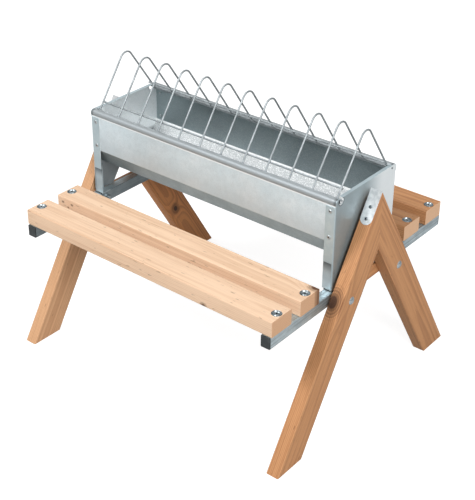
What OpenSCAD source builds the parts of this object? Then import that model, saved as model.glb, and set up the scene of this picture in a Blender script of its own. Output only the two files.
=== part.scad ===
// Legged feed trough: a galvanised sheet trough with a hinged wire grille, carried by two
// square-section crossbars and two timber A-frames, with a two-board perch on each long side.
// Millimetres. X runs along the trough, Y across it (front is -Y), Z is up.
// The origin lies on the ground, midway between the four feet.

/* [Trough] */
// Length of the trough over the outside of both end plates
trough_l = 750; // [500:10:1000]
// Width over the outside faces of the long walls
trough_w = 240; // [200:5:300]
// Height of the rim above the ground
rim_z = 595; // [560:5:650]
// Height of each vertical wall, from the fold to the top of the rim
wall_h = 107; // [95:1:120]
// Height of the sloping band between the fold and the floor
band_h = 44; // [30:1:50]
// How far each sloping band runs inward
band_in = 25; // [10:1:40]
// Thickness of the trough sheet
sheet_t = 1; // [0.8:0.1:1.5]
// Outside radius of the folds in the trough sheet
fold_r = 3; // [2:0.5:5]
// Outside diameter of the rolled rim
rim_d = 17; // [14:0.5:19]
// How far the rolled rim stands out past the wall
rim_out = 1.5; // [0.5:0.5:3]

/* [End plates] */
// Thickness of the end plate sheet
plate_t = 1; // [0.8:0.1:1.5]
// Width of the flanges folded over the long walls
flange_w = 27; // [24:1:36]
// Depth of the lip folded inward along the top edge
lip_w = 8; // [5:0.5:9]
// Radius of the top corners
corner_r = 7; // [3:0.5:10]
// Diameter of the open notch that the loose end of a grille wire drops into
notch_d = 18; // [15:0.5:20]
// Depth of the notch centre below the top edge
notch_drop = 8; // [6.5:0.5:8.5]
// Half width of the cut-out between the feet, at its foot
cut_foot = 59; // [45:1:70]
// Half width of the cut-out under the trough floor
cut_top = 8; // [4:1:20]
// Level distance of the stiffening crease from the edge of the cut-out
crease_in = 24; // [15:1:26]
// Angle by which the strip between crease and cut-out is bent inward
crease_a = 12; // [5:1:20]
// Width of the edge folded round the front and back of each foot
return_w = 4; // [4:0.5:8]

/* [Foot brackets] */
// Height of the angle brackets inside the feet
bracket_h = 70; // [40:1:76]
// Width of the bracket leaf that lies against the end plate
bracket_w = 27; // [22:1:32]
// Thickness of the bracket steel
bracket_t = 1.5; // [1:0.1:2]
// Inside radius of the bracket's bend
bracket_r = 0.5; // [0.5:0.25:1]
// Distance of the foot screw in from the outer face of the flange
foot_screw_in = 10; // [8:0.5:16]
// Thickness of the black packing strip under each foot
pad_t = 2.5; // [1:0.5:5]

/* [Crossbars] */
// Width of the crossbar section, along the trough
bar_w = 25; // [22:1:30]
// Height of the crossbar section
bar_h = 30; // [25:1:40]
// Wall thickness of the crossbar
bar_wall = 1.5; // [1:0.1:2.5]
// Length of the crossbar without its caps
bar_l = 696; // [680:2:760]
// How far the crossbar stands out past the end plate
bar_out = 3; // [1:0.5:5]
// Thickness of the cap that shows outside the bar
cap_t = 3; // [2:0.5:5]
// Depth of the plug part of the cap
plug_l = 14; // [8:1:20]

/* [Perches] */
// How far the boards run past the outer faces of the crossbars
board_over = 2; // [0:1:40]
// Width of each board
board_w = 70; // [60:1:76]
// Thickness of each board
board_t = 40; // [25:1:45]
// Gap between the two boards of a perch
board_gap = 32; // [15:1:40]
// Height of the top of the perches above the ground
perch_z = 401.5; // [390:0.5:410]
// Radius of the eased board edges
board_r = 2.5; // [1:0.5:5]

/* [A-frames] */
// Distance between the outer edges of the feet, front to back
spread = 720; // [640:10:800]
// Depth of the ridge below the trough rim
ridge_drop = 14; // [8:1:30]
// Width of the leg timber
leg_w = 76.5; // [70:0.5:80]
// Thickness of the leg timber
leg_t = 33; // [32:1:40]
// Radius of the eased leg edges
leg_r = 2; // [1:0.5:4]
// Thickness of the wooden slat between crossbar and legs
slat_t = 6; // [4:0.5:10]
// How far the slat runs past the frame bolts
slat_past = 18; // [12:1:25]
// Width of the strap over the ridge
strap_w = 30; // [24:1:31]
// Length of the strap down each leg
strap_l = 81; // [75:1:90]
// Thickness of the strap
strap_t = 1.5; // [1:0.1:2.5]

/* [Grille] */
// Diameter of the grille wire
wire_d = 4.5; // [3:0.5:5]
// Spacing of the arches
arch_pitch = 66; // [50:1:80]
// Least distance from the last arch at each end to the end plate's outer face
arch_end_gap = 10; // [8:1:30]
// Height of the arches above the outer wires
arch_h = 128; // [100:1:150]
// Bend radius at the top of each arch, to the middle of the wire
arch_r = 22; // [15:1:30]
// Distance up the arch legs at which the inner wires are welded
inner_up = 25; // [18:1:40]
// Depth of the outer wires below the rim
wire_drop = 6; // [5.5:0.1:7]
// Clearance between the outer wires and the rolled rims
wire_gap = 0.75; // [0.5:0.05:1.5]
// Clearance round the wire in its hinge hole
hinge_gap = 0.2; // [0.1:0.05:0.2]
// How far the hinge wire passes through the end plates
wire_past = 2; // [1:0.5:4]

/* [Fasteners] */
// Shank diameter of the frame bolts and perch screws
bolt_d = 8; // [6:1:10]
// Clearance round every shank
shank_gap = 0.4; // [0.2:0.1:1]
// Head diameter of the frame bolts
bolt_head_d = 20; // [16:1:24]
// Outside diameter of the cup washers sunk in the boards
cup_d = 24; // [20:1:28]
// Depth of the cup washer recess
cup_deep = 5; // [3.5:0.5:8]
// Diameter of the rivet shanks
rivet_d = 4.8; // [3.2:0.4:6]
// Distance of the rivets in from the end plate's outer face
rivet_in = 15; // [12:0.5:17]
// Depth of the upper rivets below the rim
rivet_drop = 30; // [26:1:40]
// Distance between the upper and lower rivets
rivet_gap = 65; // [40:1:66]
// Shank diameter of the strap and foot screws
screw_d = 4; // [3:0.5:5]
// Distance of the first strap screw from the ridge
screw_1 = 39; // [36:1:45]
// Distance of the second strap screw from the ridge
screw_2 = 67; // [62:1:70]

/* [Hidden] */
$fn = 48;
tiny = 0.01;

half_l = trough_l / 2;
wall_y = trough_w / 2;
fold_z = rim_z - wall_h;
floor_z = fold_z - band_h;
floor_y = wall_y - band_in;
band_a = atan2(band_in, band_h);
fold_c = [wall_y - fold_r, fold_z + fold_r * tan(band_a / 2)];
base_c = [floor_y - fold_r * tan((90 - band_a) / 2), floor_z + fold_r];
rim_y = wall_y + rim_out - rim_d / 2;
rim_cz = rim_z - rim_d / 2;

plate_y = wall_y + plate_t;
plate_in_x = half_l - plate_t;
plate_r = bracket_r + bracket_t + plate_t;
bend_c = [half_l - plate_r, -plate_y + plate_r];
fold_gap = 0.1;
lip_y = rim_y - rim_d / 2 - 1;
notch_z = rim_z - notch_drop;
flange_top = rim_z - rim_d - 1;

wire_r = wire_d / 2;
wire_y = wall_y + rim_out - rim_d - wire_gap - wire_r;
wire_z = rim_z - wire_drop;
arch_dist = norm([wire_y, arch_h - arch_r]);
leg_a = atan2(arch_h - arch_r, wire_y) + asin(arch_r / arch_dist);
arch_leg = sqrt(arch_dist * arch_dist - arch_r * arch_r);
bend_swell = 0.04;
inner_y = wire_y - inner_up * cos(leg_a) - wire_d * sin(leg_a);
inner_z = wire_z + inner_up * sin(leg_a) - wire_d * cos(leg_a);
arch_n = floor((trough_l - 2 * arch_end_gap) / arch_pitch) + 1;
arch_x = [for (i = [0:arch_n - 1]) (i - (arch_n - 1) / 2) * arch_pitch];
arch_end = arch_x[arch_n - 1];

bar_top = perch_z - board_t;
bar_bottom = bar_top - bar_h;
bar_out_x = half_l + bar_out;
bar_in_x = bar_out_x - bar_w;
bar_x = bar_out_x - bar_w / 2;
bar_mid_z = bar_top - bar_h / 2;
foot_z = bar_top + pad_t;
cut_z = floor_z - 6;
seam_z = foot_z + bracket_h;
foot_screw = [bar_x - 1, plate_y - foot_screw_in];
foot_screw_l = 14;

board_l = 2 * (bar_out_x + board_over);
board_y = [bar_l / 2 - board_w / 2, bar_l / 2 - board_gap - board_w * 3 / 2];

ridge_z = rim_z - ridge_drop;
lean = atan2(spread / 2, ridge_z);
leg_x = bar_out_x + slat_t;
leg_mid_x = leg_x + leg_t / 2;
leg_len = norm([spread / 2, ridge_z]) + leg_w;
bolt_y = (ridge_z - bar_mid_z) * tan(lean) - leg_w / cos(lean) / 2;
slat_y = bolt_y + slat_past;
bolt_head_t = bolt_head_d * 0.22;
washer_t = 1.6;
washer_d = bolt_d * 2;
nut_t = bolt_d * 0.8;
nut_d = bolt_d * 1.9;
cup_t = 1.2;
cup_rim = 2.6;
perch_head_d = bolt_d * 1.85;
perch_head_t = bolt_d * 0.42;
perch_screw_end = bar_top - 12;
rivet_head_d = rivet_d * 2;
rivet_head_t = rivet_d / 3;
screw_l = 18;
screw_head_d = screw_d * 2.1;
screw_head_t = screw_d * 0.6;
rivet_zs = [rim_z - rivet_drop, rim_z - rivet_drop - rivet_gap];
zinc = "#c3cbd1";
bright = "#dfe4e8";
timber = "#dcae84";
black = "#22262a";

cut_a = atan2(cut_foot - cut_top, cut_z - foot_z);

// Turns a drawing with x across and y up into the plane across the trough, extruded along X
module across() {
    rotate([90, 0, 90]) children();
}

// Repeats a piece at the front and the back
module both_sides() {
    children();
    mirror([0, 1, 0]) children();
}

// Repeats a piece at the right and the left end
module both_ends() {
    children();
    mirror([1, 0, 0]) children();
}

// Flat rectangle centred on the origin, with true arcs at its corners
module rounded_rect(w, h, r) {
    square([w - 2 * r, h], center = true);
    square([w, h - 2 * r], center = true);
    for (x = [-1, 1], y = [-1, 1])
        translate([x * (w / 2 - r), y * (h / 2 - r)]) circle(r);
}

// Low domed head standing on z = 0, with a flat underside
module dome(d, h) {
    ball_r = (d * d / 4 + h * h) / (2 * h);
    rotate_extrude() intersection() {
        translate([0, h - ball_r]) circle(ball_r);
        square([d / 2, h]);
    }
}

// Part of a ring between two directions, as the section of a bent sheet
module bend(centre, r, t, a0, a1) {
    far = 2 * r;
    mid = (a0 + a1) / 2;
    translate(centre) intersection() {
        difference() {
            circle(r);
            circle(r - t);
        }
        polygon([[0, 0], [far * cos(a0), far * sin(a0)], [far * cos(mid), far * sin(mid)],
            [far * cos(a1), far * sin(a1)]]);
    }
}

// Rivet hole or shank line through a wall, for the front right corner
module at_rivets() {
    for (z = rivet_zs)
        translate([half_l - rivet_in, -plate_y, z]) rotate([-90, 0, 0]) children();
}

// Room that the fold at the front right corner of the end plate takes from the trough sheet
module fold_room() {
    translate([0, 0, floor_z]) linear_extrude(flange_top - floor_z) difference() {
        translate([bend_c[0], -plate_y - 1]) square([plate_r + 1, plate_r + 1]);
        translate(bend_c) circle(plate_r - plate_t - fold_gap);
    }
}

// Stretches a section of the trough sheet from end plate to end plate
module trough_run() {
    color(zinc) difference() {
        across() linear_extrude(2 * plate_in_x, center = true) children();
        both_ends() both_sides() fold_room();
    }
}

// Back long wall, from the rolled rim down to the end of the fold below it
module trough_wall() {
    dy = wall_y - sheet_t / 2 - rim_y;
    neck = rim_cz - sqrt(pow(rim_d / 2 - sheet_t / 2, 2) - dy * dy);
    difference() {
        trough_run() {
            translate([rim_y, rim_cz]) difference() {
                circle(d = rim_d);
                circle(d = rim_d - 2 * sheet_t);
            }
            translate([wall_y - sheet_t, fold_c[1]]) square([sheet_t, neck - fold_c[1]]);
            bend(fold_c, fold_r, sheet_t, 0, -band_a);
        }
        both_ends() mirror([0, 1, 0]) at_rivets()
            translate([0, 0, -1]) cylinder(d = rivet_d + shank_gap, h = 6);
    }
}

// Back sloping band, down to the end of the fold at the floor
module trough_band() {
    out = [cos(band_a), -sin(band_a)];
    down = [-sin(band_a), -cos(band_a)];
    trough_run() {
        polygon([fold_c + fold_r * out, fold_c + (fold_r - sheet_t) * out,
            base_c + (fold_r - sheet_t) * out + tiny * down,
            base_c + fold_r * out + tiny * down]);
        bend(base_c, fold_r, sheet_t, -band_a, -90);
    }
}

module trough_floor() {
    trough_run() translate([-base_c[0], floor_z]) square([2 * base_c[0], sheet_t]);
}

// Outline of the flat part of the end plate, open from crease to crease between the feet
module plate_outline() {
    flat_y = plate_y - plate_r;
    crease_y = cut_foot + crease_in;
    difference() {
        union() {
            translate([-flat_y, foot_z]) square([2 * flat_y, flange_top - foot_z]);
            translate([-plate_y, flange_top])
                square([2 * plate_y, rim_z - corner_r - flange_top]);
            translate([-plate_y + corner_r, flange_top])
                square([2 * (plate_y - corner_r), rim_z - flange_top]);
            for (s = [-1, 1])
                translate([s * (plate_y - corner_r), rim_z - corner_r]) circle(corner_r);
        }
        polygon([[-crease_y - tan(cut_a), foot_z - 1], [-crease_in - cut_top, cut_z],
            [crease_in + cut_top, cut_z], [crease_y + tan(cut_a), foot_z - 1]]);
    }
}

// Strip beside the cut-out of the front right foot, bent inward along the crease;
// its root lies just inside the flat part of the plate
module crease_strip() {
    root = 0.05;
    intersection() {
        translate([half_l - root, -cut_foot - crease_in - 10 * root, foot_z])
            rotate([-cut_a, 0, 0]) rotate([0, 0, crease_a]) translate([-plate_t, 0, -plate_y])
                cube([plate_t, crease_in * cos(cut_a), 3 * plate_y]);
        translate([half_l - flange_w, -plate_y, foot_z])
            cube([flange_w, plate_y, cut_z - foot_z]);
    }
}

// Fold at the front right corner of the end plate, with a leaf that ends w inside its face
module plate_fold(w, z0, z1) {
    translate([0, 0, z0]) linear_extrude(z1 - z0) {
        bend(bend_c, plate_r, plate_t, -90, 0);
        translate([half_l - w, -plate_y]) square([w - plate_r, plate_t]);
    }
}

// Right end plate; the left one is the same pressing turned half round
module end_plate() {
    color(zinc) difference() {
        union() {
            translate([plate_in_x, 0, 0]) across() linear_extrude(plate_t) plate_outline();
            translate([plate_in_x - lip_w, -lip_y, rim_z - plate_t])
                cube([lip_w + tiny, 2 * lip_y, plate_t]);
            both_sides() {
                plate_fold(flange_w, seam_z, flange_top);
                plate_fold(return_w, foot_z, seam_z);
                crease_strip();
            }
        }
        translate([half_l - flange_w, -wire_y, notch_z]) rotate([0, 90, 0])
            cylinder(d = notch_d, h = flange_w + 2);
        translate([half_l - flange_w, wire_y, wire_z]) rotate([0, 90, 0])
            cylinder(d = wire_d + hinge_gap, h = flange_w + 2);
        both_sides() at_rivets()
            translate([0, 0, -1]) cylinder(d = rivet_d + shank_gap, h = 6);
    }
}

// Blind rivet set from outside: domed head, shank through both sheets, bulb inside
module rivet() {
    translate([0, 0, -rivet_head_t]) mirror([0, 0, 1]) translate([0, 0, -rivet_head_t])
        dome(rivet_head_d, rivet_head_t);
    cylinder(d = rivet_d, h = plate_t + sheet_t + tiny);
    translate([0, 0, plate_t + sheet_t]) cylinder(d = rivet_d * 1.4, h = rivet_d * 0.7);
}

module trough_rivets() {
    color(bright) both_ends() both_sides() at_rivets() rivet();
}

// Folded steel angle in the foot of an end plate, with a tab over the crossbar
module foot_bracket() {
    color(zinc) difference() {
        union() {
            translate([0, 0, foot_z]) linear_extrude(bracket_h) {
                bend(bend_c, bracket_r + bracket_t, bracket_t, -90, 0);
                translate([half_l - flange_w, -wall_y])
                    square([flange_w - plate_r, bracket_t]);
                translate([plate_in_x - bracket_t, bend_c[1]])
                    square([bracket_t, bracket_w - bracket_r - bracket_t]);
            }
            translate([half_l - flange_w, -wall_y + bracket_t / 2, foot_z])
                cube([flange_w - plate_t - bracket_t / 2, bracket_w - bracket_t / 2, bracket_t]);
        }
        translate([foot_screw[0], -foot_screw[1], foot_z - 1])
            cylinder(d = screw_d + shank_gap, h = bracket_t + 2);
    }
}

// Black packing strip between a foot and the crossbar
module foot_pads() {
    color(black) both_ends() both_sides() difference() {
        translate([bar_in_x, -plate_y, bar_top])
            cube([half_l - bar_in_x + 1, bracket_w + 2, pad_t]);
        translate([foot_screw[0], -foot_screw[1], bar_top - 1])
            cylinder(d = screw_d + shank_gap, h = pad_t + 2);
    }
}

module foot_screws() {
    color(bright) both_ends() both_sides()
        translate([foot_screw[0], -foot_screw[1], foot_z + bracket_t]) {
            dome(screw_head_d, screw_head_t);
            translate([0, 0, -foot_screw_l]) cylinder(d = screw_d, h = foot_screw_l + tiny);
        }
}

// One wire arch across the trough: two straight legs and a round bend
module arch() {
    for (s = [0, 1]) mirror([0, s, 0])
        translate([0, wire_y, wire_z]) rotate([90 - leg_a, 0, 0])
            translate([0, 0, wire_r]) cylinder(d = wire_d, h = arch_leg - wire_r + 0.3);
    translate([0, 0, wire_z + arch_h - arch_r]) across() rotate([0, 0, 90 - leg_a])
        rotate_extrude(angle = 2 * leg_a) translate([arch_r, 0]) circle(d = wire_d + bend_swell);
}

// The arches stand in four groups along the trough
module grille_arches(group) {
    color(bright) for (i = [0:arch_n - 1])
        if (floor(i * 4 / arch_n) == group) translate([arch_x[i], 0, 0]) arch();
}

// Straight wire along the trough from x0 to x1
module long_wire(x0, x1, y, z) {
    color(bright) translate([x0, y, z]) rotate([0, 90, 0]) cylinder(d = wire_d, h = x1 - x0);
}

module grille_hinge_wire() {
    long_wire(-half_l - wire_past, half_l + wire_past, wire_y, wire_z);
}

module grille_front_wire() {
    long_wire(-plate_in_x + 0.5, half_l + wire_past, -wire_y, wire_z);
}

module grille_inner_wire(side) {
    long_wire(-arch_end - wire_r, arch_end + wire_r, side * inner_y, inner_z);
}

// Right crossbar: a rectangular tube across the trough, drilled for its fasteners
module crossbar() {
    color(zinc) difference() {
        translate([bar_x, 0, bar_mid_z]) rotate([90, 0, 0])
            linear_extrude(bar_l, center = true) difference() {
                rounded_rect(bar_w, bar_h, 2);
                rounded_rect(bar_w - 2 * bar_wall, bar_h - 2 * bar_wall, 1);
            }
        both_sides() {
            translate([bar_in_x - 1, -bolt_y, bar_mid_z]) rotate([0, 90, 0])
                cylinder(d = bolt_d + shank_gap, h = bar_w + 2);
            for (y = board_y) translate([bar_x, y, bar_top - bar_wall - 1])
                cylinder(d = bolt_d + shank_gap, h = bar_wall + 2);
            translate([foot_screw[0], -foot_screw[1], bar_top - bar_wall - 1])
                cylinder(d = screw_d + shank_gap, h = bar_wall + 2);
        }
    }
}

// Black end cap of a crossbar: a flat head with a plug inside the tube
module bar_cap() {
    color(black) translate([bar_x, -bar_l / 2, bar_mid_z]) rotate([90, 0, 0]) {
        linear_extrude(cap_t) rounded_rect(bar_w, bar_h, 2.5);
        translate([0, 0, -plug_l]) linear_extrude(plug_l + tiny)
            rounded_rect(bar_w - 2 * bar_wall - 0.4, bar_h - 2 * bar_wall - 0.4, 1);
    }
}

// Places its children over the perch fasteners, at the top face of the boards
module at_perch_fasteners(y) {
    for (s = [-1, 1]) translate([s * bar_x, y, perch_z]) children();
}

// Perch board at distance y from the middle, with its fastener recesses
module perch(y) {
    color(timber) difference() {
        translate([0, y, perch_z - board_t / 2]) across()
            linear_extrude(board_l, center = true) rounded_rect(board_w, board_t, board_r);
        at_perch_fasteners(y) {
            translate([0, 0, -cup_deep]) cylinder(d = cup_d + shank_gap, h = cup_deep + 1);
            translate([0, 0, -board_t - 1]) cylinder(d = bolt_d + shank_gap, h = board_t + 2);
        }
    }
}

// Pressed cup washer: a flat seat with a raised rim
module cup_washer() {
    translate([0, 0, -cup_deep]) rotate_extrude() {
        translate([bolt_d / 2 + shank_gap, 0])
            square([cup_d / 2 - bolt_d / 2 - shank_gap, cup_t]);
        translate([cup_d / 2 - cup_rim, 0])
            polygon([[cup_rim - cup_t, 0], [cup_rim, 0], [cup_rim, cup_deep + 0.4],
                [cup_rim - cup_t, cup_deep + 0.4], [0, cup_t]]);
    }
}

module perch_cup_washers() {
    color(bright) both_sides() for (y = board_y) at_perch_fasteners(y) cup_washer();
}

module perch_screws() {
    color(bright) both_sides() for (y = board_y) at_perch_fasteners(y)
        translate([0, 0, -cup_deep + cup_t]) {
            dome(perch_head_d, perch_head_t);
            drop = perch_z - cup_deep + cup_t - perch_screw_end;
            translate([0, 0, -drop]) cylinder(d = bolt_d, h = drop + tiny);
        }
}

// Front right leg direction: local Z runs up the outer narrow face, local Y goes into the wood
module on_leg() {
    translate([leg_mid_x, 0, ridge_z]) rotate([-lean, 0, 0]) children();
}

// Strap screw positions on the outer narrow face of the front right leg
module at_strap_screws() {
    for (down = [screw_1, screw_2]) on_leg()
        translate([0, -strap_t, -down]) rotate([-90, 0, 0]) children();
}

// Front right leg: timber cut level at the foot and mitred upright at the ridge
module leg() {
    color(timber) difference() {
        intersection() {
            on_leg() translate([0, leg_w / 2, -leg_len]) linear_extrude(leg_len + leg_w * 2)
                rounded_rect(leg_t, leg_w, leg_r);
            translate([leg_x - 1, -spread, 0]) cube([leg_t + 2, spread, ridge_z + leg_w]);
        }
        translate([leg_x - 1, -bolt_y, bar_mid_z]) rotate([0, 90, 0])
            cylinder(d = bolt_d + shank_gap, h = leg_t + 2);
        at_strap_screws() cylinder(d = screw_d + shank_gap, h = screw_l + 1);
    }
}

// Right slat: a thin wooden packing piece between the crossbar and the legs
module slat() {
    color(timber) difference() {
        translate([bar_out_x, -slat_y, bar_bottom]) cube([slat_t, 2 * slat_y, bar_h]);
        both_sides() translate([bar_out_x - 1, -bolt_y, bar_mid_z]) rotate([0, 90, 0])
            cylinder(d = bolt_d + shank_gap, h = slat_t + 2);
    }
}

// Right strap: steel strip folded over the ridge, with round ends
module strap() {
    color(bright) difference() {
        both_sides() intersection() {
            on_leg() rotate([90, 0, 0]) linear_extrude(strap_t) {
                translate([-strap_w / 2, -strap_l + strap_w / 2])
                    square([strap_w, strap_l - strap_w / 2 + leg_w]);
                translate([0, -strap_l + strap_w / 2]) circle(d = strap_w);
            }
            translate([leg_x, -spread / 2, 0])
                cube([leg_t, spread / 2 + tiny, ridge_z + leg_w]);
        }
        both_sides() at_strap_screws()
            translate([0, 0, -1]) cylinder(d = screw_d + shank_gap, h = strap_t + 2);
    }
}

module strap_screws() {
    color(bright) both_ends() both_sides() at_strap_screws() {
        mirror([0, 0, 1]) dome(screw_head_d, screw_head_t);
        cylinder(d = screw_d, h = screw_l);
    }
}

// Places its children on a frame bolt's line, at the outer face of the leg, Z pointing out
module at_frame_bolts() {
    both_ends() both_sides()
        translate([leg_x + leg_t, -bolt_y, bar_mid_z]) rotate([0, 90, 0]) children();
}

module frame_bolts() {
    grip = leg_t + slat_t + bar_w;
    length = grip + washer_t + nut_t + 2;
    color(bright) at_frame_bolts() {
        dome(bolt_head_d, bolt_head_t);
        translate([0, 0, -length]) cylinder(d = bolt_d, h = length + tiny);
    }
}

module frame_washers() {
    grip = leg_t + slat_t + bar_w;
    color(bright) at_frame_bolts() translate([0, 0, -grip - washer_t]) difference() {
        cylinder(d = washer_d, h = washer_t);
        translate([0, 0, -1]) cylinder(d = bolt_d + shank_gap, h = washer_t + 2);
    }
}

module frame_nuts() {
    grip = leg_t + slat_t + bar_w;
    color(bright) at_frame_bolts() translate([0, 0, -grip - washer_t - nut_t]) difference() {
        cylinder(d = nut_d, h = nut_t, $fn = 6);
        translate([0, 0, -1]) cylinder(d = bolt_d + shank_gap, h = nut_t + 2);
    }
}

trough_wall();  // trough_wall_back
mirror([0, 1, 0]) trough_wall();  // trough_wall_front
trough_band();  // trough_band_back
mirror([0, 1, 0]) trough_band();  // trough_band_front
trough_floor();
end_plate();  // end_plate_right
rotate([0, 0, 180]) end_plate();  // end_plate_left
trough_rivets();
foot_bracket();  // foot_bracket_right_front
mirror([0, 1, 0]) foot_bracket();  // foot_bracket_right_back
mirror([1, 0, 0]) foot_bracket();  // foot_bracket_left_front
rotate([0, 0, 180]) foot_bracket();  // foot_bracket_left_back
foot_pads();
foot_screws();
grille_arches(0);  // grille_arches_a
grille_arches(1);  // grille_arches_b
grille_arches(2);  // grille_arches_c
grille_arches(3);  // grille_arches_d
grille_hinge_wire();
grille_front_wire();
grille_inner_wire(-1);  // grille_inner_wire_front
grille_inner_wire(1);  // grille_inner_wire_back
crossbar();  // crossbar_right
mirror([1, 0, 0]) crossbar();  // crossbar_left
bar_cap();  // cap_right_front
mirror([0, 1, 0]) bar_cap();  // cap_right_back
mirror([1, 0, 0]) bar_cap();  // cap_left_front
rotate([0, 0, 180]) bar_cap();  // cap_left_back
perch(-board_y[0]);  // perch_front_outer
perch(-board_y[1]);  // perch_front_inner
perch(board_y[1]);  // perch_back_inner
perch(board_y[0]);  // perch_back_outer
perch_cup_washers();
perch_screws();
leg();  // leg_right_front
mirror([0, 1, 0]) leg();  // leg_right_back
mirror([1, 0, 0]) leg();  // leg_left_front
rotate([0, 0, 180]) leg();  // leg_left_back
slat();  // slat_right
mirror([1, 0, 0]) slat();  // slat_left
strap();  // strap_right
mirror([1, 0, 0]) strap();  // strap_left
strap_screws();
frame_bolts();
frame_washers();
frame_nuts();
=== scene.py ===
"""Looks of a raised feed trough with a hinged wire grille, two perches and two timber A-frames."""

import logging
import math
from dataclasses import dataclass, replace
from enum import Enum
from typing import Sequence

import bmesh
import bpy
from mathutils import Matrix, Vector


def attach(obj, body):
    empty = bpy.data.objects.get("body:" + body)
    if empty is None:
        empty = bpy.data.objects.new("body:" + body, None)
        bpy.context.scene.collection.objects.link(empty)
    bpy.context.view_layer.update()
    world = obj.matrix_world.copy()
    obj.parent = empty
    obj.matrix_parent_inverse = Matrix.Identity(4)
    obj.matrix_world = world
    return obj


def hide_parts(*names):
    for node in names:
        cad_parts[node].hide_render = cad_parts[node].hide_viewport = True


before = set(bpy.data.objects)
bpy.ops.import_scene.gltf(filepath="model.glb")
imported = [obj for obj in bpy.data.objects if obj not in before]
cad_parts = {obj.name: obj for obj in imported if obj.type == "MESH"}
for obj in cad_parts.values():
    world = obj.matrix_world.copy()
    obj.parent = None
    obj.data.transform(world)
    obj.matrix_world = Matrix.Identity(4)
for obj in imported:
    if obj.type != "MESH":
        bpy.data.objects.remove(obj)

log = logging.getLogger("trough")
MM = 0.001
Number = float | int
Colour = tuple[float, float, float]
Point = tuple[float, float, float]
Ring = tuple[float, ...]
Socket = bpy.types.NodeSocket
Material = bpy.types.Material
X_AXIS, Y_AXIS, Z_AXIS = (1, 0, 0), (0, 1, 0), (0, 0, 1)
ENDS = {-1: "left", 1: "right"}
FACES = {-1: "front", 1: "back"}
CORNERS = [(sx, sy) for sx in ENDS for sy in FACES]


class Body(Enum):
    """The two bodies of the object."""

    FRAME = "frame"
    GRILLE = "grille"


class Slot(Enum):
    """The record's finishes, passed along with the pieces made here but not set on them."""

    WIRE = "zinc_wire"
    FASTENER = "zinc_fastener"
    PLASTIC = "black_plastic"
    TIMBER = "timber"


# Shader expressions


class Value:
    """A number or a node's output, on which arithmetic adds Math nodes."""

    def __init__(self, graph: "Graph", source: "Socket | Number") -> None:
        """Wraps a socket or a plain number, for new nodes of a graph."""
        self.graph = graph
        self.source = source

    def maths(self, operation: str, *others: "Value | Number", clamp: bool = False) -> "Value":
        """Adds one Math node.

        Args:
            operation: What it works out.
            others: The values that come after this one.
            clamp: Whether the result is kept between 0 and 1.

        Returns:
            The result.
        """
        settings = {"operation": operation, "use_clamp": clamp}
        node = self.graph.node("ShaderNodeMath", settings, dict(enumerate((self, *others))))
        return Value(self.graph, node.outputs[0])

    def __add__(self, other: "Value | Number") -> "Value":
        """The sum."""
        return self.maths("ADD", other)

    __radd__ = __add__

    def __mul__(self, other: "Value | Number") -> "Value":
        """The product."""
        return self.maths("MULTIPLY", other)

    __rmul__ = __mul__

    def __sub__(self, other: "Value | Number") -> "Value":
        """The difference."""
        return self.maths("SUBTRACT", other)

    def __rsub__(self, other: Number) -> "Value":
        """A number less this value."""
        return Value(self.graph, other).maths("SUBTRACT", self)

    def __truediv__(self, other: "Value | Number") -> "Value":
        """The quotient."""
        return self.maths("DIVIDE", other)

    def __abs__(self) -> "Value":
        """The size without its sign."""
        return self.maths("ABSOLUTE")

    def root(self) -> "Value":
        """The square root."""
        return self.maths("SQRT")

    def clamped(self) -> "Value":
        """The value kept between 0 and 1."""
        return self.maths("ADD", 0.0, clamp=True)

    def step(self, low: float, high: float) -> "Value":
        """A smooth rise from 0 at low to 1 at high.

        Args:
            low: Where the rise starts.
            high: Where it ends; lower than low for a fall.

        Returns:
            The smoothed mask.
        """
        flip = high < low
        lowest, highest = sorted((low, high))
        inputs = {
            "Value": self, "From Min": lowest, "From Max": highest,
            "To Min": float(flip), "To Max": float(not flip),
        }
        settings = {"interpolation_type": "SMOOTHSTEP", "clamp": True}
        node = self.graph.node("ShaderNodeMapRange", settings, inputs)
        return Value(self.graph, node.outputs["Result"])


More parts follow.
